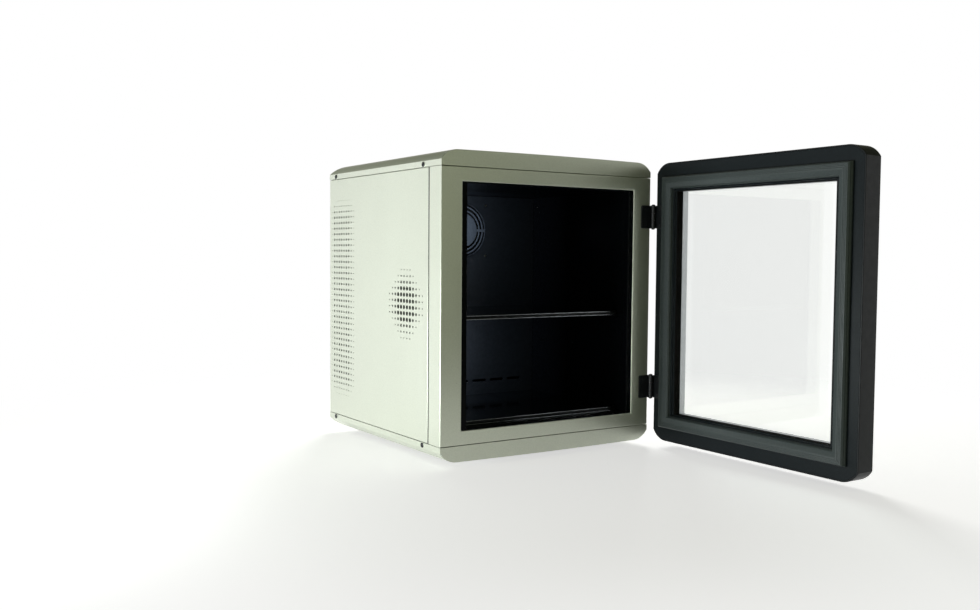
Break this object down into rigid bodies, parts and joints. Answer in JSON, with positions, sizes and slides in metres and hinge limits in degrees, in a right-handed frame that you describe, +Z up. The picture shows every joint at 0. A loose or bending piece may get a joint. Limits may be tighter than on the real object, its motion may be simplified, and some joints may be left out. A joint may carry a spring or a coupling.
{
  "type": "refrigerated display case",
  "caption": "Countertop refrigerated display case: insulated box with perforated side panels, shelves and a glazed door hinged at the right.",
  "frame": {"origin": "on the floor, under the middle of the whole object with the door open as pictured", "axes": "+X to the right and +Y to the rear as seen from the front, +Z up"},
  "size_m": [0.5414, 0.9744, 0.572],
  "materials": {
    "white_coat": "satin",
    "white_shell": "satin",
    "frame_coat": "satin",
    "black_liner": "gloss",
    "black_plastic": "satin",
    "door_grey": "satin",
    "gasket_rubber": "matte",
    "clear_glass": "polished",
    "shelf_glass": "polished",
    "black_trim": "gloss",
    "hinge_black": "satin",
    "pin_steel": "satin",
    "screw_black": "satin",
    "foot_rubber": "matte",
    "foam": "matte",
    "bare_aluminium": "satin",
    "module_ceramic": "matte",
    "inlet_black": "satin"
  },
  "bodies": {
    "cabinet": {"top_cover": "white_shell", "bottom_cover": "white_shell", "front_frame": "frame_coat", "left_side_panel": "white_coat", "right_side_panel": "white_coat", "rear_panel": "white_coat", "mains_inlet": "inlet_black", "power_supply": "bare_aluminium", "insulation": "foam", "inner_liner": "black_liner", "rear_duct_cover": "black_liner", "circulation_fan_frame": "black_plastic", "exhaust_fan_frame": "black_plastic", "cold_sink": "bare_aluminium", "thermoelectric_module": "module_ceramic", "hot_sink": "bare_aluminium", "upper_hinge_case_leaf": "hinge_black", "lower_hinge_case_leaf": "hinge_black", "upper_hinge_pin": "pin_steel", "lower_hinge_pin": "pin_steel", "foot_front_left": "foot_rubber", "foot_front_right": "foot_rubber", "foot_rear_left": "foot_rubber", "foot_rear_right": "foot_rubber", "cover_screw_top_left_front": "screw_black", "cover_screw_top_left_rear": "screw_black", "cover_screw_top_right_front": "screw_black", "cover_screw_top_right_rear": "screw_black", "cover_screw_low_left_front": "screw_black", "cover_screw_low_left_rear": "screw_black", "cover_screw_low_right_front": "screw_black", "cover_screw_low_right_rear": "screw_black"},
    "door": {"door_outer_frame": "black_plastic", "door_inner_frame": "door_grey", "inner_glass": "clear_glass", "outer_glass": "clear_glass", "glazing_spacer": "black_plastic", "door_gasket": "gasket_rubber", "upper_hinge_door_leaf": "hinge_black", "lower_hinge_door_leaf": "hinge_black"},
    "upper_shelf": {"upper_shelf_pane": "shelf_glass", "upper_shelf_trim": "black_trim"},
    "lower_shelf": {"lower_shelf_pane": "shelf_glass", "lower_shelf_trim": "black_trim"},
    "circulation_rotor": {"circulation_fan_rotor": "black_plastic"},
    "exhaust_rotor": {"exhaust_fan_rotor": "black_plastic"}
  },
  "joints": [
    {"name": "door_hinge", "type": "hinge", "parent": "cabinet", "child": "door", "pos_m": [0.22475, 0.00465, 0], "axis": [0, 0, 1], "range_deg": [-90, 30]},
    {"name": "upper_shelf_slide", "type": "slide", "parent": "cabinet", "child": "upper_shelf", "axis": [0, -1, 0], "range_m": [0, 0.035]},
    {"name": "lower_shelf_slide", "type": "slide", "parent": "cabinet", "child": "lower_shelf", "axis": [0, -1, 0], "range_m": [0, 0.035]},
    {"name": "circulation_fan_spin", "type": "hinge", "parent": "cabinet", "child": "circulation_rotor", "pos_m": [-0.02305, 0.34095, 0.438], "axis": [0, 1, 0], "continuous": true},
    {"name": "exhaust_fan_spin", "type": "hinge", "parent": "cabinet", "child": "exhaust_rotor", "pos_m": [-0.02305, 0.45095, 0.438], "axis": [0, 1, 0], "continuous": true}
  ]
}
